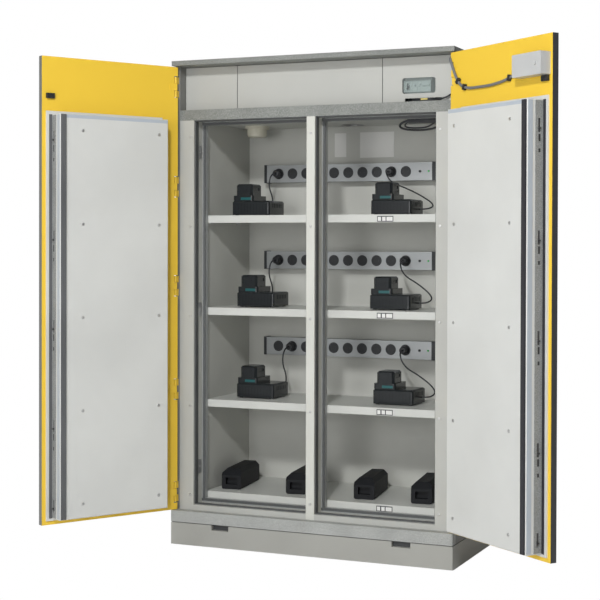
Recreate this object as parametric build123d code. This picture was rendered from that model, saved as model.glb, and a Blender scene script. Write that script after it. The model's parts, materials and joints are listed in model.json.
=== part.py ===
from build123d import *
import os
from math import cos, radians, sin

# Battery storage and charging cabinet, 90-minute fire construction, two hinged doors.
# Frame: +X to the right, the front faces -Y, +Z up, origin on the floor under the middle.

os.makedirs("parts", exist_ok=True)

# ---- overall sizes -------------------------------------------------------------------
WIDTH, DEPTH, HEIGHT = 1193.0, 615.0, 1953.0
HALF = WIDTH / 2
FRONT, REAR = -DEPTH / 2, DEPTH / 2
BOARD = 19.0                      # outer carcass board
LINER = 12.5                      # inner wall lining
PLINTH_H = 90.0
SLOT = 3.0                        # shadow gap above the plinth
RAIL_TOP = 138.0                  # top of the base rail, under the doors
TOP_T = 19.0                      # top board
CARCASS_FRONT = FRONT + 37.5      # the carcass stands back so that closed doors are flush
OPEN_X = 514.0                    # half the inner width
FLOOR_Z, CEIL_Z = 160.0, 1714.5   # inner floor and ceiling
BACK_Y = 240.0                    # face of the back lining
UPPER_FLOOR = 1757.0              # floor of the technical compartment
PANEL_Y = -222.0                  # front of the technical compartment covers
FRAME_T = 15.0                    # jamb and sill boards

# ---- doors ---------------------------------------------------------------------------
DOOR_T = 25.0
DOOR_Z0, DOOR_Z1 = 140.0, 1930.0
DOOR_OUT, DOOR_MID = 594.5, 2.0   # closed left door spans -DOOR_OUT .. -DOOR_MID
DOOR_IN = FRONT + DOOR_T          # plane of the door's inner face when closed
PIVOT_X, PIVOT_Y = 588.0, -290.0
OPEN_LEFT, OPEN_RIGHT = 121.2, 143.0
BOX_X0, BOX_X1 = -508.0, -42.0    # inner fire leaf of the closed left door
BOX_Z0, BOX_Z1 = 166.0, 1708.0
BOX_RISE = 75.0
FLANGE_T = 6.0
HINGE_Z = (210.0, 627.0, 1046.0, 1447.0, 1850.0)
HINGE_H, KNUCKLE_R, PIN_R = 80.0, 6.0, 3.0
FIT = 0.3                         # running clearance between round parts
STUD_Z = (310.0, 950.0, 1590.0)

# ---- interior ------------------------------------------------------------------------
SHELF_PITCH, TRAY_TOP = 377.0, 201.5
SHELF_TOPS = [TRAY_TOP + SHELF_PITCH * i for i in range(4)]
SHELF_FRONT, SHELF_REAR, SHELF_HALF = -172.0, 190.0, 508.0
LIP_H, SHEET = 30.0, 2.0
STRIP_Z = (778.0, 1148.0, 1518.0)
STRIP_FRONT, STRIP_H = 195.0, 74.0
STRIP_X0, STRIP_X1 = -408.0, 361.0
SOCKET_X0, SOCKET_PITCH, SOCKETS = -352.0, 64.4, 10
SOCKET_R, SOCKET_T = 23.0, 3.3
BUTTON_X, BUTTON_R = 290.0, 5.0


def board(x0, x1, y0, y1, z0, z1):
    """A flat board between six planes."""
    size = (abs(x1 - x0), abs(y1 - y0), abs(z1 - z0))
    return Pos((x0 + x1) / 2, (y0 + y1) / 2, (z0 + z1) / 2) * Box(*size)


def rod_y(x, z, y0, y1, r):
    """A round bar along Y."""
    return Pos(x, (y0 + y1) / 2, z) * Rot(90, 0, 0) * Cylinder(r, abs(y1 - y0))


def rod_x(y, z, x0, x1, r):
    return Pos((x0 + x1) / 2, y, z) * Rot(0, 90, 0) * Cylinder(r, abs(x1 - x0))


def rod_z(x, y, z0, z1, r):
    return Pos(x, y, (z0 + z1) / 2) * Cylinder(r, abs(z1 - z0))


def both(shape):
    """The piece and its mirror image on the other side of the middle."""
    return [shape, mirror(shape, about=Plane.YZ)]


def save(name, *shapes):
    solids = [s for shape in shapes for s in shape.solids()]
    export_step(solids[0] if len(solids) == 1 else Compound(children=solids), f"parts/{name}.step")
    print(name, len(solids))


def hang(shape, side):
    """Take a piece of the closed left door to the open pose of the left or right door."""
    if side > 0:
        shape = mirror(shape, about=Plane.YZ)
    turn = OPEN_RIGHT if side > 0 else -OPEN_LEFT
    return shape.rotate(Axis((side * PIVOT_X, PIVOT_Y, 0), (0, 0, 1)), turn)


# ---- plinth and carcass --------------------------------------------------------------
PLINTH_WALL = 30.0
COVER_T = 16.0
plinth_y0 = FRONT + COVER_T
plinth = [board(-HALF, HALF, plinth_y0, plinth_y0 + PLINTH_WALL, 0, PLINTH_H),
          board(-HALF, HALF, REAR - PLINTH_WALL, REAR, 0, PLINTH_H)]
for x in (-HALF + PLINTH_WALL / 2, 0.0, HALF - PLINTH_WALL / 2):
    plinth.append(board(x - PLINTH_WALL / 2, x + PLINTH_WALL / 2, plinth_y0 + PLINTH_WALL,
                        REAR - PLINTH_WALL, 0, PLINTH_H))
save("plinth_frame", *plinth)

cover = board(-HALF, HALF, FRONT, FRONT + COVER_T - FIT, 2, PLINTH_H)
for x in (-375.0, 392.0):
    cover -= board(x - 38, x + 38, FRONT - 1, FRONT + COVER_T, PLINTH_H - 20, PLINTH_H + 1)
save("plinth_cover", cover)

spacers = [board(x - 40, x + 40, -200, 200, PLINTH_H, PLINTH_H + SLOT) for x in (-540, 540)]
save("base_rail", board(-HALF, HALF, FRONT, CARCASS_FRONT, PLINTH_H + SLOT, RAIL_TOP))

INNER_X = HALF - BOARD
carcass_z0, carcass_z1 = PLINTH_H + SLOT, HEIGHT - TOP_T
sides = both(board(-HALF, -INNER_X, CARCASS_FRONT, REAR, carcass_z0, carcass_z1))
back = board(-INNER_X, INNER_X, REAR - BOARD, REAR, carcass_z0, carcass_z1)
bottom = board(-INNER_X, INNER_X, CARCASS_FRONT, REAR - BOARD, carcass_z0, carcass_z0 + BOARD)

WALL_Y0 = CARCASS_FRONT + FRAME_T
liner_x = OPEN_X + LINER
LINER_BACK = BACK_Y + LINER
UPPER_T = 12.0
DUCT_R, DUCT_WALL, DUCT_Y = 50.0, 2.0, 170.0
duct_hole = rod_z(0, DUCT_Y, 1600, HEIGHT + 5, DUCT_R + FIT)
insulation = both(board(-INNER_X, -liner_x, WALL_Y0, REAR - BOARD, carcass_z0 + BOARD, CEIL_Z + LINER))
insulation.append(board(-liner_x, liner_x, LINER_BACK, REAR - BOARD, FLOOR_Z - LINER, CEIL_Z + LINER))
insulation.append(board(-liner_x, liner_x, WALL_Y0, REAR - BOARD, carcass_z0 + BOARD, FLOOR_Z - LINER))
LEDGE_T = 48.0
roof = board(-INNER_X, INNER_X, CARCASS_FRONT + LEDGE_T, REAR - BOARD, CEIL_Z + LINER,
             UPPER_FLOOR - UPPER_T)
insulation.append(roof - duct_hole)
save("insulation", *insulation)

liners = both(board(-liner_x, -OPEN_X, WALL_Y0, LINER_BACK, FLOOR_Z, CEIL_Z))
liners.append(board(-OPEN_X, OPEN_X, BACK_Y, LINER_BACK, FLOOR_Z, CEIL_Z))
liners.append(board(-liner_x, liner_x, WALL_Y0, LINER_BACK, FLOOR_Z - LINER, FLOOR_Z))
liners.append(board(-liner_x, liner_x, WALL_Y0, LINER_BACK, CEIL_Z, CEIL_Z + LINER) - duct_hole)
save("liners", *liners)

# jambs, sills and the middle post, which stands only at the front
POST = 17.5
STEP_Y0, STEP_Y1 = -196.0, -176.0
jambs = both(board(-INNER_X, -OPEN_X, CARCASS_FRONT, WALL_Y0, carcass_z0 + BOARD, CEIL_Z))
sills = both(board(-OPEN_X, -POST, CARCASS_FRONT, WALL_Y0, carcass_z0 + BOARD, FLOOR_Z))
post = board(-POST, POST, CARCASS_FRONT, WALL_Y0, carcass_z0 + BOARD, CEIL_Z)
post += board(-POST, POST, WALL_Y0, STEP_Y1, FLOOR_Z, CEIL_Z)
save("front_frame", *jambs, *sills)
save("middle_post", post)

save("ledge_rail", board(-INNER_X, INNER_X, CARCASS_FRONT, CARCASS_FRONT + LEDGE_T, CEIL_Z + LINER,
                         UPPER_FLOOR),
     board(-INNER_X, INNER_X, CARCASS_FRONT, WALL_Y0, CEIL_Z, CEIL_Z + LINER))

# seals round each opening: a flat foaming strip, then a stepped profile with a rubber lip
STRIP_T, STEP_W, LIP_W, LIP_T = 4.0, 15.0, 10.0, 3.0
profiles, steps, rubbers = [], [], []
for sx in (-1, 1):
    inner, outer = sx * POST, sx * OPEN_X
    for edge, inward in ((outer, -sx), (inner, sx)):
        profiles.append(board(edge, edge + inward * STRIP_T, -262, -238, FLOOR_Z + STRIP_T, CEIL_Z - STRIP_T))
        steps.append(board(edge, edge + inward * STEP_W, STEP_Y0, STEP_Y1, FLOOR_Z + STEP_W, CEIL_Z - STEP_W))
        near = edge + inward * (STEP_W - LIP_W)
        rubbers.append(board(near, near + inward * LIP_W, STEP_Y0 - LIP_T, STEP_Y0,
                             FLOOR_Z + STEP_W, CEIL_Z - STEP_W))
    for edge, inward in ((FLOOR_Z, 1), (CEIL_Z, -1)):
        profiles.append(board(inner, outer, -262 if inward < 0 else WALL_Y0, -238, edge, edge + inward * STRIP_T))
        steps.append(board(inner, outer, STEP_Y0, STEP_Y1, edge, edge + inward * STEP_W))
        near = edge + inward * (STEP_W - LIP_W)
        rubbers.append(board(inner, outer, STEP_Y0 - LIP_T, STEP_Y0, near, near + inward * LIP_W))
save("seal_strips", *profiles, *rubbers)
save("seal_profiles", *steps)

# fixings on the frame: domed screws, and the catch plates for the hinge-side studs
SCREW_Z = (200.0, 561.0, 924.0, 1286.0, 1649.0)


def screw_y(x, z, y, out=-1.0, r=5.0, h=2.4):
    """A domed screw head standing on the plane y, with a cross slot."""
    head = rod_y(x, z, y, y + out * h, r)
    head = fillet(head.edges().filter_by(GeomType.CIRCLE).sort_by(Axis.Y)[0 if out < 0 else -1], 1.4)
    head -= board(x - 3, x + 3, y + out * (h - 0.9), y + out * (h + 1), z - 0.6, z + 0.6)
    return head - board(x - 0.6, x + 0.6, y + out * (h - 0.9), y + out * (h + 1), z - 3, z + 3)


frame_screws = [screw_y(x, z, CARCASS_FRONT) for x in (-530.0, 0.0, 530.0) for z in SCREW_Z]
catches = []
for z in STUD_Z:
    plate = board(-OPEN_X, -OPEN_X + 1.5, -236, -206, z - 27, z + 27)
    plate -= rod_x(-222, z, -OPEN_X - 1, -OPEN_X + 3, 6)
    catches += both(plate)
save("frame_fixings", *frame_screws, *catches)

# ---- technical compartment -----------------------------------------------------------
POST_W = 20.0
SEAM_1, SEAM_2 = -343.0, 280.0
upper = board(-INNER_X, INNER_X, CARCASS_FRONT + LEDGE_T, REAR - BOARD, UPPER_FLOOR - UPPER_T, UPPER_FLOOR)
save("outer_boards", *sides, back, bottom, *spacers, upper - duct_hole)
COVER_SHEET = 2.0
post_y = PANEL_Y + COVER_SHEET
posts = [board(x - POST_W / 2, x + POST_W / 2, post_y, post_y + POST_W, UPPER_FLOOR, carcass_z1)
         for x in (-INNER_X + POST_W / 2, SEAM_1, SEAM_2, INNER_X - POST_W / 2)]
SEAM = 3.0
cover_z0, cover_z1 = UPPER_FLOOR + 1, carcass_z1 - 2
left_cover = board(-INNER_X + 1, SEAM_1 - SEAM / 2, PANEL_Y, post_y, cover_z0, cover_z1)
mid_cover = board(SEAM_1 + SEAM / 2, SEAM_2 - SEAM / 2, PANEL_Y, post_y, cover_z0, cover_z1)
WIN_X, WIN_Z, WIN_W, WIN_H = 428.0, 1822.0, 134.0, 60.0
right_cover = board(SEAM_2 + SEAM / 2, INNER_X - 1, PANEL_Y, post_y, cover_z0, cover_z1)
window = Pos(WIN_X, (PANEL_Y + post_y) / 2, WIN_Z) * Rot(90, 0, 0) * extrude(
    RectangleRounded(WIN_W, WIN_H, 9), 5, both=True)
right_cover -= window
right_cover -= board(372, 520, PANEL_Y - 1, post_y + 1, cover_z0 - 1, UPPER_FLOOR + 17)
save("upper_covers", left_cover, mid_cover, right_cover)
pane = board(WIN_X - WIN_W / 2 - 8, WIN_X + WIN_W / 2 + 8, post_y, post_y + 3,
             WIN_Z - WIN_H / 2 - 8, WIN_Z + WIN_H / 2 + 8)
save("window_pane", pane)

# fuse module behind the window: rail, breakers, and one main switch lever
RAIL_Y = -140.0
MODULE, BREAKER_H, BREAKER_FRONT = 17.8, 84.0, -196.0
rail = board(355, 500, RAIL_Y, RAIL_Y + 6, WIN_Z - 17.5, WIN_Z + 17.5)
rail_foot = [board(x, x + 8, RAIL_Y + 6, RAIL_Y + 18, UPPER_FLOOR, WIN_Z + 17.5) for x in (356, 491)]
save("upper_frame", *posts, rail, *rail_foot)
breakers = []
SWITCH_X = 376.0
for i, poles in enumerate((2, 1, 1, 2)):
    x0 = 358.0 + MODULE * sum((2, 1, 1, 2)[:i]) + 0.6 * i
    body = board(x0, x0 + MODULE * poles, -180, RAIL_Y, WIN_Z - BREAKER_H / 2, WIN_Z + BREAKER_H / 2)
    body += board(x0, x0 + MODULE * poles, BREAKER_FRONT, -180, WIN_Z - 22, WIN_Z + 22)
    if i == 0:
        body -= board(SWITCH_X - 6, SWITCH_X + 6, BREAKER_FRONT - 1, -181, WIN_Z - 14, WIN_Z + 14)
    else:
        body += board(x0 + 4, x0 + MODULE * poles - 4, BREAKER_FRONT - 8, BREAKER_FRONT, WIN_Z + 1, WIN_Z + 8)
    breakers.append(body)
save("breakers", *breakers)
SWITCH_Y = -188.0
lever = rod_x(SWITCH_Y, WIN_Z, SWITCH_X - 6 + FIT, SWITCH_X + 6 - FIT, 5.5)
lever += Pos(SWITCH_X, SWITCH_Y, WIN_Z) * Rot(30, 0, 0) * Pos(0, -9, 0) * Box(9, 18, 4)
save("main_switch_lever", lever)

top = board(-HALF, HALF, FRONT, REAR, HEIGHT - TOP_T, HEIGHT) - duct_hole
save("top_board", top)
SPIGOT_TOP = HEIGHT + 50
duct = rod_z(0, DUCT_Y, CEIL_Z, SPIGOT_TOP, DUCT_R) - rod_z(0, DUCT_Y, CEIL_Z - 1, SPIGOT_TOP + 1,
                                                           DUCT_R - DUCT_WALL)
duct += (rod_z(0, DUCT_Y, HEIGHT, HEIGHT + 2, DUCT_R + 15) - rod_z(0, DUCT_Y, HEIGHT - 1, HEIGHT + 3,
                                                                DUCT_R - DUCT_WALL))
save("exhaust_spigot", duct)

# ---- interior ------------------------------------------------------------------------
shelf_solids, feet = [], []
for i, z in enumerate(SHELF_TOPS):
    plate = board(-SHELF_HALF, SHELF_HALF, SHELF_FRONT + SHEET, SHELF_REAR if i else 238.0, z - SHEET, z)
    lip = board(-SHELF_HALF, SHELF_HALF, SHELF_FRONT, SHELF_FRONT + SHEET, z - LIP_H, z)
    shelf_solids += [plate, lip]
    if i:
        for sx in (-1, 1):
            for y in (-120.0, 130.0):
                feet.append(board(sx * OPEN_X, sx * (OPEN_X - 26), y - 15, y + 15, z - SHEET - 3, z - SHEET))
                feet.append(board(sx * OPEN_X, sx * (OPEN_X - 3), y - 15, y + 15, z - SHEET - 33, z - SHEET - 3))
    else:
        for x in (-480.0, 0.0, 480.0):
            feet.append(board(x - 15, x + 15, SHELF_FRONT + SHEET, 236.0, FLOOR_Z, z - SHEET))
save("shelves", *shelf_solids)
save("shelf_supports", *feet)

strips, inserts, caps, lamps = [], [], [], []
BUTTON_TRAVEL = 3.0
for k, z in enumerate(STRIP_Z):
    strip = board(STRIP_X0, STRIP_X1, STRIP_FRONT, BACK_Y, z - STRIP_H / 2, z + STRIP_H / 2)
    for sz in (-1, 1):
        strip -= board(STRIP_X0 - 1, STRIP_X1 + 1, STRIP_FRONT - 1, STRIP_FRONT + 1.5,
                       z + sz * 29 - 1.2, z + sz * 29 + 1.2)
    for i in range(SOCKETS):
        x = SOCKET_X0 + SOCKET_PITCH * i
        strip -= rod_y(x, z, STRIP_FRONT - 1, STRIP_FRONT + SOCKET_T, SOCKET_R)
        cup = rod_y(x, z, STRIP_FRONT, STRIP_FRONT + SOCKET_T, SOCKET_R)
        cup -= rod_y(x, z, STRIP_FRONT - 1, STRIP_FRONT + 1.8, SOCKET_R - 3.5)
        for sx in (-1, 1):
            cup -= rod_y(x + sx * 9.5, z, STRIP_FRONT, STRIP_FRONT + SOCKET_T, 2.4)
            cup += board(x - 2, x + 2, STRIP_FRONT + 0.3, STRIP_FRONT + 1.8, z + sz * 0 + sx * 16.5,
                         z + sx * 20)
        inserts.append(cup)
    strip -= rod_y(BUTTON_X, z, STRIP_FRONT - 1, STRIP_FRONT + 14, BUTTON_R + FIT)
    button = rod_y(BUTTON_X, z, STRIP_FRONT - 5, STRIP_FRONT + 9, BUTTON_R)
    save(f"reset_button_{k + 1}", button)
    lamp = rod_y(327.0, z, STRIP_FRONT - 2.5, STRIP_FRONT, 4.0)
    lamps.append(fillet(lamp.edges().filter_by(GeomType.CIRCLE).sort_by(Axis.Y)[0], 1.5))
    strips.append(strip)
    caps.append(board(STRIP_X0 - 12, STRIP_X0, STRIP_FRONT - 2, BACK_Y, z - STRIP_H / 2 - 2, z + STRIP_H / 2 + 2))
    caps.append(board(STRIP_X1, STRIP_X1 + 50, STRIP_FRONT - 2, BACK_Y, z - STRIP_H / 2 - 2, z + STRIP_H / 2 + 2))
save("socket_profiles", *strips)
save("socket_inserts", *inserts)
save("socket_end_blocks", *caps)
save("indicator_lamps", *lamps)

base = rod_z(-405, 90, CEIL_Z - 12, CEIL_Z, 52)
head = rod_z(-405, 90, CEIL_Z - 46, CEIL_Z - 12, 42)
head = fillet(head.edges().filter_by(GeomType.CIRCLE).sort_by(Axis.Z)[0], 12)
save("smoke_detector", base + head)
save("ceiling_connector", board(345, 505, -120, -94, CEIL_Z - 26, CEIL_Z))

# ---- chargers, batteries and their plugs and cords -----------------------------------
CH_W, CH_Y0, CH_Y1, CH_LOW, CH_HIGH = 170.0, -75.0, 75.0, 62.0, 84.0
CH_STEP = 92.0                    # width of the raised end that carries the battery
FOOT = 4.0
CORD_R, PLUG_R, PLUG_END = 3.0, 16.0, 160.0
ENTRY = 25.0                      # height of the cord entry above the shelf
STATIONS = [  # shelf number, charger middle, socket number, cord goes to the right side
    (3, -355.0, 0, False), (3, 261.0, 8, True), (2, -333.0, 0, False),
    (2, 257.0, 9, True), (1, -334.0, 1, False), (1, 272.0, 9, True)]
cases, packs, plugs = [], [], []


def charger(x, z):
    """A stepped charger: low end with a vent, raised end with the battery slide."""
    x0, x1 = x - CH_W / 2, x + CH_W / 2
    low = board(x0, x1, CH_Y0, CH_Y1, z + FOOT, z + CH_LOW)
    high = board(x0, x0 + CH_STEP, CH_Y0 + 8, CH_Y1 - 8, z + CH_LOW, z + CH_HIGH)
    low = chamfer(low.faces().sort_by(Axis.Z)[-1].edges(), 7)
    low = fillet(low.edges().filter_by(Axis.Z), 8)
    high = fillet(high.edges().filter_by(Axis.Z), 10)
    body = low + high
    for i in range(11):
        groove = x0 + 14 + i * 14
        body -= board(groove, groove + 3, CH_Y0 - 1, CH_Y0 + 2, z + 8, z + CH_LOW - 12)
    for i in range(6):
        vent = CH_Y0 + 32 + i * 16
        body -= board(x1 - 2, x1 + 1, vent, vent + 7, z + 34, z + CH_LOW - 12)
    for fx in (x0 + 16, x1 - 16):
        for fy in (CH_Y0 + 16, CH_Y1 - 16):
            body += rod_z(fx, fy, z, z + FOOT, 7)
    return body


def battery(x, z):
    """A slide-on tool battery with bevelled edges and a latch groove."""
    pack = board(x - 37, x + 37, -62, 34, z, z + 48)
    pack = chamfer(pack.edges().filter_by(Axis.Z), 9)
    pack = chamfer(pack.faces().sort_by(Axis.Z)[-1].edges(), 6)
    pack -= board(x - 40, x + 40, -70, -59.5, z + 15, z + 18)
    for sx in (-1, 1):
        pack -= board(x + sx * 39, x + sx * 34.5, -40, 10, z + 22, z + 34)
    pack += board(x - 14, x + 14, -64, -60, z + 22, z + 38)
    return pack


def back_route(sx, sz, x, ez):
    """Hang down behind the charger and turn into its back."""
    drop = sz - ez
    return [(sx, PLUG_END, sz), (sx, 118, sz), (sx - 10, 112, sz - 0.35 * drop),
            (sx + 8, 124, sz - 0.70 * drop), (sx, 120, ez), (sx, CH_Y1, ez)]


def side_route(sx, sz, x, ez):
    """Swing out to the right, round the charger's back corner and into its side."""
    drop, side = sz - ez, x + CH_W / 2
    far = side + 44
    steps = ((0.13, 106, 0.34), (0.60, 93, 0.56), (1.0, 86, 0.86))
    if far - sx > 200:
        steps = ((0.13, 106, 0.30), (0.42, 96, 0.44), (0.73, 93, 0.64), (1.0, 86, 0.88))
    bends = [(sx + f * (far - sx), y, sz - g * drop) for f, y, g in steps]
    return [(sx, PLUG_END, sz), (sx, 118, sz), *bends, (far - 4, 36, ez), (side, 36, ez)]


for n, (shelf, x, socket, to_side) in enumerate(STATIONS):
    z = SHELF_TOPS[shelf]
    sx = SOCKET_X0 + SOCKET_PITCH * socket
    sz = STRIP_Z[shelf - 1]
    cases.append(charger(x, z))
    packs.append(battery(x - CH_W / 2 + CH_STEP / 2 + 2, z + CH_HIGH))
    plug = rod_y(sx, sz, PLUG_END, STRIP_FRONT + 1.8, PLUG_R)
    plug = fillet(plug.edges().filter_by(GeomType.CIRCLE).sort_by(Axis.Y)[0], 6)
    plugs.append(plug)
    route = (side_route if to_side else back_route)(sx, sz, x, z + ENTRY)
    points = [Vector(*p) for p in route]
    radii = []
    for a, b, c in zip(points, points[1:], points[2:]):
        one, two = b - a, c - b
        turn = radians(one.get_angle(two))
        radii.append(0.45 * min(one.length, two.length) / (sin(turn / 2) / cos(turn / 2)))
    line = FilletPolyline(*points, radius=radii)
    section = Plane(origin=points[0], z_dir=(points[1] - points[0]).normalized()) * Circle(CORD_R)
    cord = sweep(section, path=line)
    print("cord", n + 1, "length", round(line.length, 1), "radii", [round(r, 1) for r in radii],
          "volume ratio", round(cord.volume / (3.14159265 * CORD_R ** 2 * line.length), 4))
    save(f"charger_cord_{n + 1}", cord)
save("charger_cases", *cases)
save("tool_batteries", *packs)
save("charger_plugs", *plugs)

EP_W, EP_L, EP_H, EP_TURN = 84.0, 250.0, 84.0, 8.0
ebike = []
for x in (-444.0, -152.0, 145.0, 386.0):
    pack = Box(EP_W, EP_L, EP_H)
    top_long = pack.faces().sort_by(Axis.Z)[-1].edges().filter_by(Axis.Y)
    pack = chamfer(top_long, 17)
    nose = pack.faces().sort_by(Axis.Y)[0].edges().sort_by(Axis.Z)[-1]
    pack = chamfer(nose, 26)
    pack = fillet(pack.faces().sort_by(Axis.Z)[0].edges().filter_by(Axis.Y), 9)
    pack -= Pos(0, -EP_L / 2 + 9, -8) * Box(50, 26, 28)
    ebike.append(Pos(x, 20, SHELF_TOPS[0] + EP_H / 2) * Rot(0, 0, EP_TURN) * pack)
save("bike_batteries", *ebike)

# ---- doors, built closed on the left and hung on each side ---------------------------
NOTCH = PIVOT_X - 10.0
panel = board(-DOOR_OUT, -DOOR_MID, FRONT, DOOR_IN, DOOR_Z0, DOOR_Z1)
for z in HINGE_Z:
    panel -= board(-DOOR_OUT - 1, -NOTCH, FRONT - 1, DOOR_IN + 1, z - HINGE_H / 2 - 3, z + HINGE_H / 2 + 3)
box_y0, box_y1 = DOOR_IN + FLANGE_T, DOOR_IN + BOX_RISE
leaf = board(BOX_X0 - 12, BOX_X1 + 24, DOOR_IN, box_y0, BOX_Z0 - 10, BOX_Z1 + 8)
core = board(BOX_X0, BOX_X1, box_y0, box_y1, BOX_Z0, BOX_Z1)
core = chamfer(core.faces().sort_by(Axis.Y)[-1].edges(), 3)
inner_leaf = leaf + core
FACE_RAIL = 2.5
RAIL_Z0, RAIL_Z1 = BOX_Z0 + 4, BOX_Z1 - 4
rail_y0, rail_y1 = box_y0 + 3, box_y0 + 35
SLOTS = (215.0, 520.0, 900.0, 1240.0, 1620.0)
lock_rail = board(BOX_X1, BOX_X1 + FACE_RAIL, rail_y0, rail_y1, RAIL_Z0, RAIL_Z1)
groove_y = (rail_y0 + rail_y1) / 2
ROD_PIN = 3.5
inner_leaf -= board(BOX_X1 - 6, BOX_X1 + 1, groove_y - 7, groove_y + 7, RAIL_Z0 + 10, RAIL_Z1 - 10)
for z in SLOTS:
    lock_rail -= board(BOX_X1 - 1, BOX_X1 + 4, groove_y - 5, groove_y + 5, z - 24, z + 24)
rod_bar = board(BOX_X1 - 5, BOX_X1 - FIT, groove_y - 6, groove_y + 6, RAIL_Z0 + 26, RAIL_Z1 - 36)
for z in SLOTS:
    rod_bar += rod_x(groove_y, z - 10, BOX_X1 - 1, BOX_X1 + 8, ROD_PIN)
DSEAL_W, DSEAL_H = 20.0, 7.0
seal = [board(BOX_X1 - DSEAL_W - 3, BOX_X1 - 3, box_y1, box_y1 + DSEAL_H, BOX_Z0 + 3, BOX_Z1 - 3)]
channel = board(BOX_X1 + 1, BOX_X1 + 13, box_y0, box_y0 + 2, BOX_Z0, BOX_Z1)
foil = board(BOX_X1, BOX_X1 + 1, rail_y1 + 12, box_y1 - 4, BOX_Z0 + 4, BOX_Z1 - 4)
DSCREW_X = (-466.0, -137.0)
DSCREW_Z = (221.0, 577.0, 933.0, 1290.0, 1646.0)
screws = [screw_y(x, z, box_y1, out=1.0, r=6.0) for x in DSCREW_X for z in DSCREW_Z]
studs = [rod_x(-222, z, BOX_X0 - 4, BOX_X0, 4.0) for z in STUD_Z]
leaves = []
frame_leaves = []
for z in HINGE_Z:
    knuckle = rod_z(-PIVOT_X, PIVOT_Y, z - 13.5, z + 13.5, KNUCKLE_R)
    knuckle += board(-PIVOT_X - 3, -NOTCH, PIVOT_Y + 3, DOOR_IN + 1.6, z - 13.5, z + 13.5)
    knuckle += board(-NOTCH - 1, -NOTCH + 22, DOOR_IN, DOOR_IN + 1.6, z - 13.5, z + 13.5)
    knuckle -= rod_z(-PIVOT_X, PIVOT_Y, z - 20, z + 20, PIN_R + FIT)
    leaves.append(knuckle)
    half = HINGE_H / 2
    fixed = rod_z(-PIVOT_X, PIVOT_Y, z - half, z + half, PIN_R)
    for a, b in ((z - half, z - 14), (z + 14, z + half)):
        fixed += rod_z(-PIVOT_X, PIVOT_Y, a, b, KNUCKLE_R)
        fixed += board(-PIVOT_X - 4, -PIVOT_X + 4, PIVOT_Y, CARCASS_FRONT, a, b)
    frame_leaves += both(fixed)
save("hinge_frame_leaves", *frame_leaves)

# the handle's back plate stands on the right door's outer face
HANDLE_X, HANDLE_Z = -70.0, 1050.0
handle_plate = board(HANDLE_X - 20, HANDLE_X + 20, FRONT - 6, FRONT, HANDLE_Z - 90, HANDLE_Z + 60)
handle_plate = fillet(handle_plate.edges().filter_by(Axis.Y), 12)
spindle_r = 9.0
handle_plate -= rod_y(HANDLE_X, HANDLE_Z, FRONT - 7, FRONT + 1, spindle_r + FIT)

for side, tag in ((-1, "left"), (1, "right")):
    save(f"{tag}_door_panel", hang(panel, side))
    save(f"{tag}_inner_leaf", hang(inner_leaf, side))
    save(f"{tag}_lock_rail", hang(lock_rail, side), hang(foil, side))
    save(f"{tag}_lock_rod", hang(rod_bar, side))
    save(f"{tag}_door_seal", *[hang(s, side) for s in seal], hang(channel, side))
    fixings = screws + studs + ([handle_plate] if side > 0 else [])
    save(f"{tag}_door_fixings", *[hang(s, side) for s in fixings])
    save(f"{tag}_hinge_leaves", *[hang(s, side) for s in leaves])

# right door only: handle outside, controller box and its clipped cable inside
grip = rod_y(HANDLE_X, HANDLE_Z, FRONT - 30, FRONT - FIT, spindle_r)
arm = board(HANDLE_X - 10, HANDLE_X + 10, FRONT - 32, FRONT - 18, HANDLE_Z - 125, HANDLE_Z + 12)
grip += fillet(arm.edges().filter_by(Axis.Y), 9)
save("door_handle", hang(grip, 1))

CTRL_X0, CTRL_X1, CTRL_Z0, CTRL_Z1, CTRL_H = -171.0, -13.0, 1790.0, 1868.0, 42.0
ctrl = board(CTRL_X0, CTRL_X1, DOOR_IN, DOOR_IN + CTRL_H, CTRL_Z0, CTRL_Z1)
ctrl = fillet(ctrl.edges().filter_by(Axis.Y), 4)
BTN_X, BTN_Z, BTN_R = -45.0, 1829.0, 7.0
ctrl -= rod_y(BTN_X, BTN_Z, DOOR_IN + CTRL_H - 12, DOOR_IN + CTRL_H + 1, BTN_R + FIT)
save("control_box", hang(ctrl, 1))
save("control_button", hang(rod_y(BTN_X, BTN_Z, DOOR_IN + CTRL_H - 7, DOOR_IN + CTRL_H + 4, BTN_R), 1))
CABLE_R = 3.5
cable_y = DOOR_IN + CABLE_R + 2.5
cable_line = FilletPolyline(
    (-574, cable_y, 1872), (-556, cable_y, 1838), (-524, cable_y, 1800), (-478, cable_y, 1786),
    (-335, cable_y, 1784), (-252, cable_y, 1793), (-212, cable_y, 1806), (CTRL_X0, cable_y, 1806),
    radius=[30, 40, 55, 120, 110, 55])
cable = sweep(Plane(origin=(-574, cable_y, 1872), z_dir=Vector(18, 0, -34)) * Circle(CABLE_R), path=cable_line)
clip_points = ((-540, 1819, 50), (-500, 1793, 17), (-232, 1799.6, 18))
clips = []
for x, z, tilt in clip_points:
    block = Box(12, CABLE_R * 2 + 5, 22)
    block = Pos(x, DOOR_IN + CABLE_R + 2.5, z) * Rot(0, tilt, 0) * block
    clips.append(block)
bridge = [c - sweep(Plane(origin=(-574, cable_y, 1872), z_dir=Vector(18, 0, -34)) * Circle(CABLE_R + FIT),
                    path=cable_line) for c in clips]
save("door_cable", hang(cable, 1))
save("cable_clips", *[hang(b, 1) for b in bridge])
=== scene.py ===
# %% [markdown]
# # A charging cabinet with its doors open
# The solids come from the CAD model and stay where they are. This notebook gives them their
# finishes, adds the small parts that only matter to the eye, and sets up the light and camera.

# %% Load the CAD model
import json
import math
import bpy
from mathutils import Matrix, Vector


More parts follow.
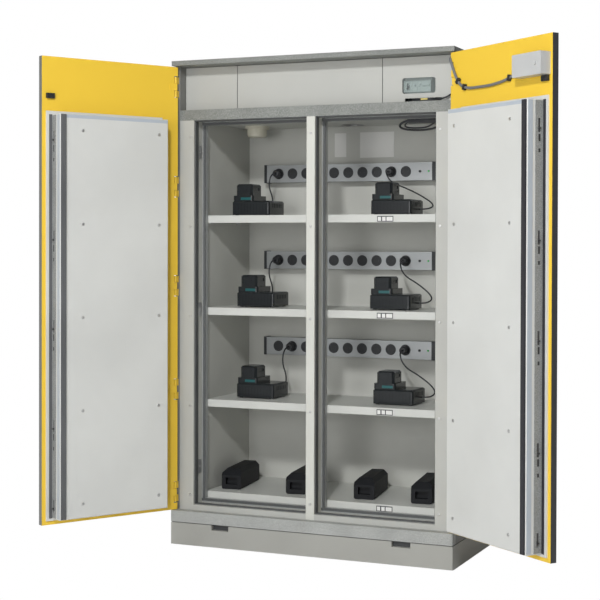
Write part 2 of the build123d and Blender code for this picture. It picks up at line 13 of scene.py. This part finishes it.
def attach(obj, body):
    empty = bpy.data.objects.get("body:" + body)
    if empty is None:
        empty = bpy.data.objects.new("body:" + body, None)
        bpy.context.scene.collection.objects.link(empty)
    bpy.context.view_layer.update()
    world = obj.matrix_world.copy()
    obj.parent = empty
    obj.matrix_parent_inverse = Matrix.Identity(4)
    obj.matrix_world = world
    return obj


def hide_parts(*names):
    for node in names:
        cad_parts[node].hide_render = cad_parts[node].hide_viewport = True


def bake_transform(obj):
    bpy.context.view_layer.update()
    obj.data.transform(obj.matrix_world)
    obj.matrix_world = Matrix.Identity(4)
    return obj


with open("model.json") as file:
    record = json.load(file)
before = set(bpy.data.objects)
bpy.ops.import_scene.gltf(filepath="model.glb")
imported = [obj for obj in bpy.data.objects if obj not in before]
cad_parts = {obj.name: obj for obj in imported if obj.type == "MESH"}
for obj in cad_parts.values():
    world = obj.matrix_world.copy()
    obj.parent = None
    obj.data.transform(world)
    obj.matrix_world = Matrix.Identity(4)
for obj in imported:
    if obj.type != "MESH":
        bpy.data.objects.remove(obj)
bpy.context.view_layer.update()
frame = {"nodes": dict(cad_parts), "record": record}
nodes = frame["nodes"]

# %% [markdown]
# ## Finishes
# Every finish is made from numbers: a base colour, a roughness and a fine noise that moves both a
# little. Powder coat needs a slight orange-peel bump, laminate needs specks, and metal needs a
# grain. The noise reads object coordinates in metres, so its scale is the size of the real grain.

# %% Helpers for the node materials
def principled(name, colour, rough, metallic=0.0, coat=0.0):
    """A material with a Principled shader; returns (material, shader, node tree)."""
    mat = bpy.data.materials.new(name)
    mat.use_nodes = True
    tree = mat.node_tree
    shader = tree.nodes["Principled BSDF"]
    shader.inputs["Base Color"].default_value = (*colour, 1)
    shader.inputs["Roughness"].default_value = rough
    shader.inputs["Metallic"].default_value = metallic
    shader.inputs["Coat Weight"].default_value = coat
    return mat, shader, tree


def noise(tree, scale, detail=2.0):
    """Noise in object coordinates; scale counts its grains in a metre."""
    coords = tree.nodes.new("ShaderNodeTexCoord")
    tex = tree.nodes.new("ShaderNodeTexNoise")
    tex.inputs["Scale"].default_value = scale
    tex.inputs["Detail"].default_value = detail
    tree.links.new(coords.outputs["Object"], tex.inputs["Vector"])
    return tex


def mixed(tree, factor, low, high, colour_a, colour_b):
    """Two colours mixed where factor runs from low to high."""
    ramp = tree.nodes.new("ShaderNodeValToRGB")
    ramp.color_ramp.elements[0].position = low
    ramp.color_ramp.elements[1].position = high
    ramp.color_ramp.elements[0].color = (*colour_a, 1)
    ramp.color_ramp.elements[1].color = (*colour_b, 1)
    tree.links.new(factor, ramp.inputs["Fac"])
    return ramp.outputs["Color"]


def peel(tree, shader, scale, strength):
    """Bump from fine noise, for paint, rubber and moulded plastic."""
    tex = noise(tree, scale)
    bump = tree.nodes.new("ShaderNodeBump")
    bump.inputs["Strength"].default_value = strength
    bump.inputs["Distance"].default_value = 0.0005
    tree.links.new(tex.outputs["Fac"], bump.inputs["Height"])
    tree.links.new(bump.outputs["Normal"], shader.inputs["Normal"])


def coat(name, colour, rough=0.45, spread=0.04, bump=0.12):
    """Powder coat or plastic: one colour with a faint cloud, and a fine peel."""
    mat, shader, tree = principled(name, colour, rough)
    tex = noise(tree, 3.0, 3.0)
    darker = [c * (1 - spread) for c in colour]
    lighter = [min(1, c * (1 + spread)) for c in colour]
    cloud = mixed(tree, tex.outputs["Fac"], 0.35, 0.65, darker, lighter)
    tree.links.new(cloud, shader.inputs["Base Color"])
    peel(tree, shader, 900.0, bump)
    return mat


def speckled(name, colour, dark, light):
    """Laminate: a mid grey with dark and light specks about 2 mm across."""
    mat, shader, tree = principled(name, colour, 0.5)
    fine = noise(tree, 420.0, 4.0)
    specks = mixed(tree, fine.outputs["Fac"], 0.36, 0.64, dark, light)
    cloud = noise(tree, 9.0, 3.0)
    mix = tree.nodes.new("ShaderNodeMix")
    mix.data_type = "RGBA"
    mix.blend_type = "OVERLAY"
    mix.inputs["Factor"].default_value = 0.25
    tree.links.new(specks, mix.inputs["A"])
    tree.links.new(cloud.outputs["Fac"], mix.inputs["B"])
    tree.links.new(mix.outputs["Result"], shader.inputs["Base Color"])
    return mat


def metal(name, colour, rough, grain=(1.0, 1.0, 60.0)):
    """Drawn or brushed metal: noise stretched along the profile sets the roughness."""
    mat, shader, tree = principled(name, colour, rough, 1.0)
    coords = tree.nodes.new("ShaderNodeTexCoord")
    stretch = tree.nodes.new("ShaderNodeMapping")
    stretch.inputs["Scale"].default_value = grain
    tex = tree.nodes.new("ShaderNodeTexNoise")
    tex.inputs["Scale"].default_value = 12.0
    tree.links.new(coords.outputs["Object"], stretch.inputs["Vector"])
    tree.links.new(stretch.outputs["Vector"], tex.inputs["Vector"])
    spread = tree.nodes.new("ShaderNodeMapRange")
    spread.inputs["To Min"].default_value = rough - 0.08
    spread.inputs["To Max"].default_value = rough + 0.1
    tree.links.new(tex.outputs["Fac"], spread.inputs["Value"])
    tree.links.new(spread.outputs["Result"], shader.inputs["Roughness"])
    return mat


# %% [markdown]
# The door panels are yellow laminate on both faces with a grey metal edge. One board carries both,
# so the material itself asks which way a surface faces: along the board it is yellow, and on its
# narrow edges it is grey.

# %% The two-tone door panel
# The right door's edge colour is the same grey metal edge painted near black: painted shade on that
# edge.
YELLOW, EDGE, SHADED_EDGE = (0.90, 0.60, 0.050), (0.20, 0.20, 0.19), (0.040, 0.042, 0.046)
OPEN_LEFT, OPEN_RIGHT = math.radians(121.2), math.radians(143.0)


def door_board(name, face_normal, edge):
    """Yellow where a surface faces along face_normal, and the edge colour everywhere else."""
    mat, shader, tree = principled(name, YELLOW, 0.42)
    coords = tree.nodes.new("ShaderNodeTexCoord")
    dot = tree.nodes.new("ShaderNodeVectorMath")
    dot.operation = "DOT_PRODUCT"
    dot.inputs[1].default_value = face_normal
    tree.links.new(coords.outputs["Normal"], dot.inputs[0])
    size = tree.nodes.new("ShaderNodeMath")
    size.operation = "ABSOLUTE"
    tree.links.new(dot.outputs["Value"], size.inputs[0])
    two_tone = mixed(tree, size.outputs[0], 0.70, 0.72, edge, YELLOW)
    tree.links.new(two_tone, shader.inputs["Base Color"])
    peel(tree, shader, 700.0, 0.1)
    return mat


def clear_pane(name):
    """A pane that lets most light straight through and keeps a faint gloss."""
    mat, shader, tree = principled(name, (0.80, 0.86, 0.86), 0.05)
    see_through = tree.nodes.new("ShaderNodeBsdfTransparent")
    see_through.inputs["Color"].default_value = (0.86, 0.90, 0.89, 1)
    mix = tree.nodes.new("ShaderNodeMixShader")
    mix.inputs["Fac"].default_value = 0.10
    tree.links.new(see_through.outputs["BSDF"], mix.inputs[1])
    tree.links.new(shader.outputs["BSDF"], mix.inputs[2])
    tree.links.new(mix.outputs["Shader"], tree.nodes["Material Output"].inputs["Surface"])
    return mat


# %% [markdown]
# The first table has a finish for each material slot of the CAD model. The names below it are
# finishes that only some pieces get, where one slot covers pieces that look different.

# %% The finishes
finishes = {
    "plinth_grey": coat("plinth_coat", (0.35, 0.35, 0.325), 0.5),
    "light_panel": coat("light_grey_coat", (0.45, 0.455, 0.43), 0.42),
    "white_rail": coat("white_coat", (0.585, 0.595, 0.565), 0.40),
    "white_leaf": coat("leaf_laminate", (0.66, 0.67, 0.65), 0.40),
    "white_post": coat("post_coat", (0.60, 0.605, 0.56), 0.40),
    "light_jamb": coat("jamb_laminate", (0.46, 0.465, 0.44), 0.45),
    "carcass_dark": coat("side_board", (0.20, 0.20, 0.19), 0.5),
    "insulation_board": coat("fire_board", (0.55, 0.53, 0.48), 0.8, 0.1, 0.4),
    "liner_grey": coat("lining_laminate", (0.53, 0.535, 0.50), 0.5),
    "seal_black": coat("black_rubber", (0.028, 0.028, 0.034), 0.6, 0.1, 0.3),
    "seal_grey": coat("grey_seal_profile", (0.34, 0.35, 0.35), 0.45),
    # This black finish also makes the strips behind the sockets and the marks in the lock rails'
    # slots, which are painted shade.
    "black_plastic": coat("black_moulding_and_shade", (0.020, 0.022, 0.026), 0.42, 0.1, 0.3),
    "charger_black": coat("charger_moulding", (0.015, 0.018, 0.020), 0.22, 0.1, 0.15),
    "cream_plastic": coat("cream_moulding", (0.62, 0.60, 0.50), 0.45),
    "grey_plastic": coat("grey_moulding", (0.52, 0.53, 0.53), 0.42),
    "cable_grey": coat("cable_sheath", (0.17, 0.18, 0.20), 0.5),
    "speckled_rail": speckled("speckled_laminate", (0.22, 0.23, 0.22), (0.14, 0.15, 0.14),
                              (0.29, 0.30, 0.285)),
    "zinc_steel": metal("zinc_plated_steel", (0.60, 0.60, 0.60), 0.38, (1, 1, 1)),
    "aluminium_profile": metal("drawn_aluminium", (0.36, 0.375, 0.38), 0.42, (0.3, 1.0, 40.0)),
    "clear_window": clear_pane("clear_pane"),
    "lamp_green": principled("lamp_lens", (0.10, 0.55, 0.15), 0.2)[0],
}
black = finishes["black_plastic"]
teal = coat("teal_moulding", (0.0, 0.085, 0.09), 0.4)
gasket = coat("frame_gasket", (0.085, 0.090, 0.092), 0.55, 0.1, 0.3)
base_laminate = speckled("base_laminate", (0.38, 0.39, 0.38), (0.25, 0.26, 0.25),
                         (0.47, 0.48, 0.465))
door_gasket = coat("door_gasket", (0.11, 0.115, 0.12), 0.5, 0.1, 0.3)
# This dark finish also makes the sheets in the plinth's notches and slot, which are painted shade.
dark_steel_and_shade = coat("dark_steel_and_shade", (0.045, 0.047, 0.05), 0.45)
galvanised = speckled("galvanised", (0.26, 0.27, 0.27), (0.17, 0.18, 0.18), (0.34, 0.35, 0.35))
foil_blue = coat("foil", (0.46, 0.51, 0.57), 0.35)
pack_black = coat("pack_black", (0.008, 0.009, 0.011), 0.6, 0.1, 0.3)
pack_black.node_tree.nodes["Principled BSDF"].inputs["Specular IOR Level"].default_value = 0.25
paper = coat("blank_paper", (0.74, 0.74, 0.72), 0.8)
tag_yellow = coat("cable_tag", (0.60, 0.50, 0.16), 0.6)
hinge_yellow = coat("hinge_coat", YELLOW, 0.45)
slots = {s["node"]: s["material_slot"] for s in frame["record"]["subparts"]}


def paint(name, material):
    """Give a CAD piece one finish in place of what it has."""
    nodes[name].data.materials.clear()
    nodes[name].data.materials.append(material)


for name in nodes:
    if slots[name] in finishes:
        paint(name, finishes[slots[name]])
left_normal = (math.sin(OPEN_LEFT), math.cos(OPEN_LEFT), 0)
right_normal = (-math.sin(OPEN_RIGHT), math.cos(OPEN_RIGHT), 0)
own_finish = {
    "left_door_panel": door_board("left_door_board", left_normal, EDGE),
    # The right board's near-black edge colour is painted shade.
    "right_door_panel": door_board("right_door_board_shaded_edge", right_normal, SHADED_EDGE),
    "left_hinge_leaves": hinge_yellow, "right_hinge_leaves": hinge_yellow,
    "hinge_frame_leaves": hinge_yellow, "seal_strips": gasket, "base_rail": base_laminate,
    "left_door_seal": door_gasket, "bike_batteries": pack_black, "upper_frame": dark_steel_and_shade,
    "left_lock_rod": dark_steel_and_shade, "left_lock_rail": galvanised,
    "right_lock_rod": dark_steel_and_shade, "right_lock_rail": galvanised,
}
for name, material in own_finish.items():
    paint(name, material)
missing = sorted(set(slots.values()) - set(finishes))
print("finishes", len(bpy.data.materials), "slots without one", missing)

# %% [markdown]
# ## Camera
# A long lens from the front right, a little above the middle of the cabinet. The lens is shifted
# as well as turned, because the view is a part of a wider one.

# %% The camera
cam_data = bpy.data.cameras.new("camera")
camera = bpy.data.objects.new("camera", cam_data)
bpy.context.collection.objects.link(camera)
bpy.context.scene.camera = camera
cam_data.sensor_width = 36
cam_data.lens = 84.492
cam_data.shift_x, cam_data.shift_y = -0.0473333333, -0.065
camera.location = (2.1969, -5.3074, 1.2138)
yaw, pitch, roll = math.radians(22.83), math.radians(-0.66), math.radians(0.15)
level_view = Matrix.Rotation(yaw, 3, "Z") @ Matrix.Rotation(math.pi / 2 + pitch, 3, "X")
camera.rotation_euler = (level_view @ Matrix.Rotation(roll, 3, "Z")).to_euler()
print("lens", round(cam_data.lens, 1), "mm")

# %% [markdown]
# ## Cords of the chargers
# Each cord leaves its socket, hangs down the back wall and turns into its charger. The curve is a
# NURBS spline on the same route that the CAD tube takes. The cords in the left bay drop almost
# straight to the back of their chargers; those in the right bay swing out and come in at the side.

# %% The six charger cords
def tube(name, route, radius, material):
    """A round cable along a route; each point's own radius sets the thickness."""
    data = bpy.data.curves.new(name, "CURVE")
    data.dimensions = "3D"
    data.bevel_depth = 1
    data.bevel_resolution = 5
    data.resolution_u = 16
    spline = data.splines.new("NURBS")
    spline.points.add(len(route) - 1)
    for point, place in zip(spline.points, route):
        point.co = (*place, 1)
        point.radius = radius
    spline.order_u = 3
    spline.use_endpoint_u = True
    data.use_fill_caps = True
    obj = bpy.data.objects.new(name, data)
    bpy.context.collection.objects.link(obj)
    data.materials.append(material)
    return obj


SHELF_TOPS = [0.2015 + 0.377 * level for level in range(4)]
STRIP_Z = (0.778, 1.148, 1.518)
FIRST_SOCKET_X, SOCKET_PITCH = -0.352, 0.0644
CHARGER_HALF = 0.085
CORD_RADIUS = 0.003
# a row for each charger: its shelf, its middle, its socket and where the cord goes in
STATIONS = ((3, -0.355, 0, "back"), (3, 0.261, 8, "side"), (2, -0.333, 0, "back"),
            (2, 0.257, 9, "side"), (1, -0.334, 1, "back"), (1, 0.272, 9, "side"))
# a cord that swings out: share of the way across, y, and share of the way down
SHORT_SWING = ((0.13, 0.106, 0.34), (0.60, 0.093, 0.56), (1.0, 0.086, 0.86))
LONG_SWING = ((0.13, 0.106, 0.30), (0.42, 0.096, 0.44), (0.73, 0.093, 0.64), (1.0, 0.086, 0.88))


def cord_route(shelf, x, socket, kind):
    """The points from a socket to a charger that stands on a shelf with its middle at x."""
    socket_x = FIRST_SOCKET_X + SOCKET_PITCH * socket
    top, end = STRIP_Z[shelf - 1], SHELF_TOPS[shelf] + 0.025
    drop = top - end
    start = [(socket_x, 0.160, top), (socket_x, 0.118, top)]
    if kind == "back":
        return start + [(socket_x - 0.010, 0.112, top - 0.35 * drop),
                        (socket_x + 0.008, 0.124, top - 0.70 * drop),
                        (socket_x, 0.120, end), (socket_x, 0.075, end)]
    side = x + CHARGER_HALF
    far = side + 0.044
    steps = LONG_SWING if far - socket_x > 0.200 else SHORT_SWING
    middle = [(socket_x + part * (far - socket_x), y, top - fall * drop)
              for part, y, fall in steps]
    return start + middle + [(far - 0.004, 0.036, end), (side, 0.036, end)]


for number, station in enumerate(STATIONS):
    route = cord_route(*station)
    cord = tube(f"cord_{number + 1}", route, CORD_RADIUS, black)
    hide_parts(f"charger_cord_{number + 1}")
    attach(cord, "cabinet")
print("cords", len(STATIONS))

# %% [markdown]
# ## Small pieces
# These pieces carry no load and have no joint, so they are made here: the clips and foils of the
# doors, the black marks of painted shade in the lock rails' slots, the coloured panels of the
# chargers, and the blank cards and sheets. Door pieces are written down in closed coordinates and
# then swung about the hinge line.

# %% Blocks and their helpers
PIVOT_X, PIVOT_Y = 0.588, -0.290
HANDS = (("left", -1), ("right", 1))


def swing(side):
    """The turn that carries a closed door to where it stands open; side is -1 or 1."""
    angle = OPEN_RIGHT if side > 0 else -OPEN_LEFT
    pivot = Matrix.Translation((side * PIVOT_X, PIVOT_Y, 0))
    return pivot @ Matrix.Rotation(angle, 4, "Z") @ pivot.inverted()


def block(name, low, high, material, body="cabinet", turn=None, edge=0.0006):
    """A box from one corner to the other, with its edges rounded unless edge is 0."""
    bpy.ops.object.select_all(action="DESELECT")
    bpy.ops.mesh.primitive_cube_add(size=1, location=(0, 0, 0))
    obj = bpy.context.object
    obj.name = name
    middle = [(a + b) / 2 for a, b in zip(low, high)]
    sizes = [abs(b - a) for a, b in zip(low, high)]
    obj.data.transform(Matrix.Translation(middle) @ Matrix.Diagonal((*sizes, 1)))
    if turn:
        obj.data.transform(turn)
    obj.data.update()
    obj.data.materials.append(material)
    if edge:
        bevel = obj.modifiers.new("edge", "BEVEL")
        bevel.width = edge
        bevel.segments = 2
    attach(obj, body)
    return obj


def on_door(name, low, high, material, side, edge=0.0006):
    """A block in the closed left door's coordinates; side 1 mirrors it to the right door."""
    if side > 0:
        low, high = (-high[0], *low[1:]), (-low[0], *high[1:])
    body = "left_door" if side < 0 else "right_door"
    return block(name, low, high, material, body, swing(side), edge)


# %% [markdown]
# On each door: a three-fingered clip near the free edge, black marks of painted shade where the
# slots of the lock rail are, a blue foil on the free side of the inner leaf, a blue band along the
# top of its face, and a white strip on the door above it.

# %% Pieces on the doors
DOOR_IN = -0.2825
LEAF_EDGE, LEAF_FACE = -0.042, -0.2075
RAIL_OUT, RAIL_IN = -0.2735, -0.2415
RAIL_END = 0.175
CLIP_FINGERS = ((-0.051, -0.041), (-0.039, -0.030), (-0.028, -0.018))
SLOT_HEIGHTS = (0.215, 0.520, 0.900, 1.240, 1.620)
SLOT_SPANS = ((-0.055, -0.030), (-0.092, -0.079))
groove = (RAIL_OUT + RAIL_IN) / 2
for hand, side in HANDS:
    for part, (x0, x1) in enumerate(CLIP_FINGERS):
        on_door(f"{hand}_clip_{part}", (x0, DOOR_IN + 0.0005, 1.769),
                (x1, DOOR_IN + 0.012, 1.789), black, side)
    on_door(f"{hand}_clip_base", (-0.051, DOOR_IN + 0.0004, 1.772),
            (-0.018, DOOR_IN + 0.006, 1.779), black, side)
for hand, side in HANDS:
    on_door(f"{hand}_foil", (LEAF_EDGE + 0.0008, RAIL_IN + 0.0115, 0.170),
            (LEAF_EDGE + 0.0013, LEAF_FACE - 0.0030, 1.704), foil_blue, side, edge=0)
    # Black marks where the rail's slots are: painted shade inside the slots.
    for number, z in enumerate(SLOT_HEIGHTS):
        for part, (low, high) in enumerate(SLOT_SPANS):
            if z + low > RAIL_END:
                on_door(f"{hand}_mark_{number}_{part}",
                        (LEAF_EDGE + 0.0024, groove - 0.004, z + low),
                        (LEAF_EDGE + 0.0028, groove + 0.004, z + high), black, side, edge=0)
for hand, side in HANDS:
    on_door(f"{hand}_leaf_band", (-0.504, LEAF_FACE - 0.0004, 1.6925),
            (-0.066, LEAF_FACE + 0.0003, 1.7048), foil_blue, side, edge=0)
    on_door(f"{hand}_leaf_head", (-0.520, DOOR_IN + 0.0003, 1.7160),
            (-0.018, DOOR_IN + 0.0060, 1.7215), finishes["white_leaf"], side, edge=0)

# %% [markdown]
# On the cabinet: a blank card with three fields on each shelf, the inlet block at the end of each
# socket strip and a black strip of painted shade behind its sockets, dark sheets of painted shade
# in the plinth's notches and slot, two blank sheets on the back wall, and the coloured panel of
# each charger.

# %% Pieces on the cabinet
CARD_FIELDS = ((0.244, 0.257), (0.262, 0.276), (0.280, 0.305))
NOTCH_X, NOTCH_HALF = (-0.375, 0.392), 0.0375
BACK_WALL = 0.240
for shelf, top in enumerate(SHELF_TOPS):
    block(f"card_{shelf}", (0.241, -0.1728, top - 0.028), (0.308, -0.1722, top - 0.006),
          dark_steel_and_shade, edge=0)
    for part, (x0, x1) in enumerate(CARD_FIELDS):
        block(f"card_{shelf}_field_{part}", (x0, -0.1731, top - 0.025),
              (x1, -0.1727, top - 0.0095), paper, edge=0)
for number, z in enumerate(STRIP_Z):
    block(f"inlet_block_{number + 1}", (0.343, 0.1905, z - 0.0390), (0.4112, 0.1928, z + 0.0390),
          black)
    # A black strip behind the sockets: painted shade in their openings.
    block(f"socket_painted_shade_{number + 1}", (-0.366, 0.1978, z - 0.0045), (0.242, 0.1981, z + 0.0045),
          black, edge=0)
# Dark sheets in the plinth's notches: painted shade in these recesses.
for number, x in enumerate(NOTCH_X):
    block(f"notch_painted_shade_{number + 1}", (x - NOTCH_HALF, -0.29195, 0.0705),
          (x + NOTCH_HALF, -0.2916, 0.0900), dark_steel_and_shade, edge=0)
# A dark sheet in the slot of the plinth: painted shade in the gap.
block("slot_painted_shade", (-0.5940, -0.3030, 0.0902), (0.5940, -0.3015, 0.0928), dark_steel_and_shade, edge=0)
block("sheet_small", (-0.110, BACK_WALL - 0.0010, 1.587), (-0.057, BACK_WALL - 0.0004, 1.688),
      paper, edge=0)
block("sheet_large", (0.006, BACK_WALL - 0.0010, 1.582), (0.159, BACK_WALL - 0.0004, 1.689),
      paper, edge=0)
for number, (shelf, x, _, _) in enumerate(STATIONS):
    left, top = x - CHARGER_HALF, SHELF_TOPS[shelf]
    block(f"charger_panel_{number + 1}", (left + 0.036, -0.0678, top + 0.066),
          (left + 0.082, -0.0666, top + 0.0765), teal)

# %% [markdown]
# ## Loose cables
# The cables at the ceiling, in the notch under the window and on the ledge are seen in part only,
# and that part is modelled. The controller's cable leaves the cabinet, crosses the hinge and runs
# through the clips on the door; it is made into a mesh.

# %% The loose cables
def length_of(curve):
    """The length of a curve's own line, and the points along it."""
    depth, curve.data.bevel_depth = curve.data.bevel_depth, 0.0
    bpy.context.view_layer.update()
    mesh = curve.evaluated_get(bpy.context.evaluated_depsgraph_get()).to_mesh()
    spots = [v.co.copy() for v in mesh.vertices]
    curve.data.bevel_depth = depth
    bpy.context.view_layer.update()
    return sum((q - p).length for p, q in zip(spots, spots[1:])), spots


def loose_cable(name, route, radius):
    """A black cable on the cabinet, with as much of its length as can be seen."""
    cable = tube(name, route, radius, black)
    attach(cable, "cabinet")
    length, _ = length_of(cable)
    print(name, round(length, 3))


CEILING, LEDGE = 1.7145, 1.757
loose_cable("ceiling_cable_1", [(0.347, -0.107, CEILING - 0.014), (0.318, -0.108, CEILING - 0.020),
                                (0.308, -0.112, CEILING - 0.040), (0.345, -0.114, CEILING - 0.052),
                                (0.410, -0.112, CEILING - 0.054), (0.470, -0.110, CEILING - 0.046),
                                (0.480, -0.107, CEILING - 0.024)], 0.0042)
loose_cable("ceiling_cable_2", [(0.347, -0.100, CEILING - 0.018), (0.328, -0.100, CEILING - 0.026),
                                (0.330, -0.099, CEILING - 0.040), (0.370, -0.098, CEILING - 0.044),
                                (0.430, -0.099, CEILING - 0.042), (0.450, -0.101, CEILING - 0.024)],
            0.0032)
loose_cable("notch_cable_1", [(0.384, -0.214, LEDGE + 0.006), (0.390, -0.232, LEDGE + 0.004),
                              (0.430, -0.240, LEDGE + 0.0036), (0.480, -0.234, LEDGE + 0.006),
                              (0.525, -0.242, LEDGE + 0.008), (0.556, -0.236, LEDGE + 0.020),
                              (0.566, -0.222, LEDGE + 0.034)], 0.0032)
loose_cable("notch_cable_2", [(0.400, -0.214, LEDGE + 0.008), (0.412, -0.228, LEDGE + 0.010),
                              (0.450, -0.230, LEDGE + 0.012), (0.490, -0.226, LEDGE + 0.010),
                              (0.506, -0.214, LEDGE + 0.010)], 0.0028)
block("cable_tag", (0.440, -0.2362, LEDGE + 0.0075), (0.468, -0.2352, LEDGE + 0.0145), tag_yellow)
loose_cable("ledge_cable", [(-0.085, -0.224, LEDGE + 0.003), (-0.060, -0.232, LEDGE + 0.0025),
                            (-0.020, -0.229, LEDGE + 0.0022), (0.015, -0.236, LEDGE + 0.0022),
                            (0.050, -0.230, LEDGE + 0.0022), (0.075, -0.224, LEDGE + 0.003)], 0.002)

# %% The controller's cable
CABLE_Y, CABLE_RADIUS = DOOR_IN + 0.006, 0.0052
on_cabinet = [(0.5715, -0.2215, 1.915), (0.5715, -0.240, 1.919), (0.5735, -0.272, 1.917),
              (0.5766, -0.298, 1.906)]
on_panel = [(0.574, 1.872), (0.556, 1.838), (0.524, 1.800), (0.478, 1.786), (0.407, 1.7845),
            (0.335, 1.784), (0.252, 1.793), (0.212, 1.806), (0.171, 1.806)]
cable_route = on_cabinet + [tuple(swing(1) @ Vector((x, CABLE_Y, z))) for x, z in on_panel]
line = tube("cable_line", cable_route, CABLE_RADIUS, finishes["cable_grey"])
length, spots = length_of(line)
depsgraph = bpy.context.evaluated_depsgraph_get()
mesh = bpy.data.meshes.new_from_object(line.evaluated_get(depsgraph))
bpy.data.objects.remove(line)
controller_cable = bpy.data.objects.new("controller_cable", mesh)
bpy.context.collection.objects.link(controller_cable)
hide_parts("door_cable")
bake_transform(controller_cable)
print("controller cable", round(length, 3), "m", len(spots), "points")

# %% [markdown]
# ## Floor and light
# A plain white floor that fades into a white background: the camera sees both at full white, while
# the pieces are lit by the lamps and a dim sky. The main lamp stands high in front, so the shelves
# throw their shadows down the back wall. Wide lamps fill in from the front, the left and behind.

# %% The stage
bpy.ops.object.select_all(action="DESELECT")
bpy.ops.mesh.primitive_plane_add(size=60, location=(0, 0, 0))
floor = bpy.context.object
floor.name = "floor"
floor_mat, shader, tree = principled("floor_white", (0.9, 0.9, 0.9), 0.9)
emit = tree.nodes.new("ShaderNodeEmission")
emit.inputs["Color"].default_value = (1, 1, 1, 1)
emit.inputs["Strength"].default_value = 1.0
path = tree.nodes.new("ShaderNodeLightPath")
mix = tree.nodes.new("ShaderNodeMixShader")
output = tree.nodes["Material Output"]
tree.links.new(path.outputs["Is Camera Ray"], mix.inputs["Fac"])
tree.links.new(shader.outputs["BSDF"], mix.inputs[1])
tree.links.new(emit.outputs["Emission"], mix.inputs[2])
tree.links.new(mix.outputs["Shader"], output.inputs["Surface"])
floor.data.materials.append(floor_mat)

world = bpy.data.worlds.new("studio")
bpy.context.scene.world = world
world.use_nodes = True
background = world.node_tree.nodes["Background"]
background.inputs["Color"].default_value = (1, 1, 1, 1)
sky_path = world.node_tree.nodes.new("ShaderNodeLightPath")
sky_level = world.node_tree.nodes.new("ShaderNodeMapRange")
sky_level.inputs["To Min"].default_value = 0.225
sky_level.inputs["To Max"].default_value = 1.0
world.node_tree.links.new(sky_path.outputs["Is Camera Ray"], sky_level.inputs["Value"])
world.node_tree.links.new(sky_level.outputs["Result"], background.inputs["Strength"])


def area_light(name, place, target, size, power):
    """A round lamp, size in metres across and power in watts, turned to its target."""
    data = bpy.data.lights.new(name, "AREA")
    data.shape = "DISK"
    data.size = size
    data.energy = power
    obj = bpy.data.objects.new(name, data)
    bpy.context.collection.objects.link(obj)
    obj.location = place
    obj.rotation_euler = (Vector(target) - Vector(place)).to_track_quat("-Z", "Y").to_euler()


area_light("key", (1.2, -5.0, 3.8), (0, 0, 0.95), 0.5, 150)
area_light("fill_front", (0.0, -6.5, 1.5), (0, 0, 1.0), 2.5, 100)
area_light("rear", (-2.0, 5.5, 3.0), (0, 0, 1.0), 3.0, 150)
area_light("fill_left", (-4.0, -4.0, 2.5), (0, 0, 1.0), 3.0, 24)
bpy.context.scene.view_settings.view_transform = "Standard"
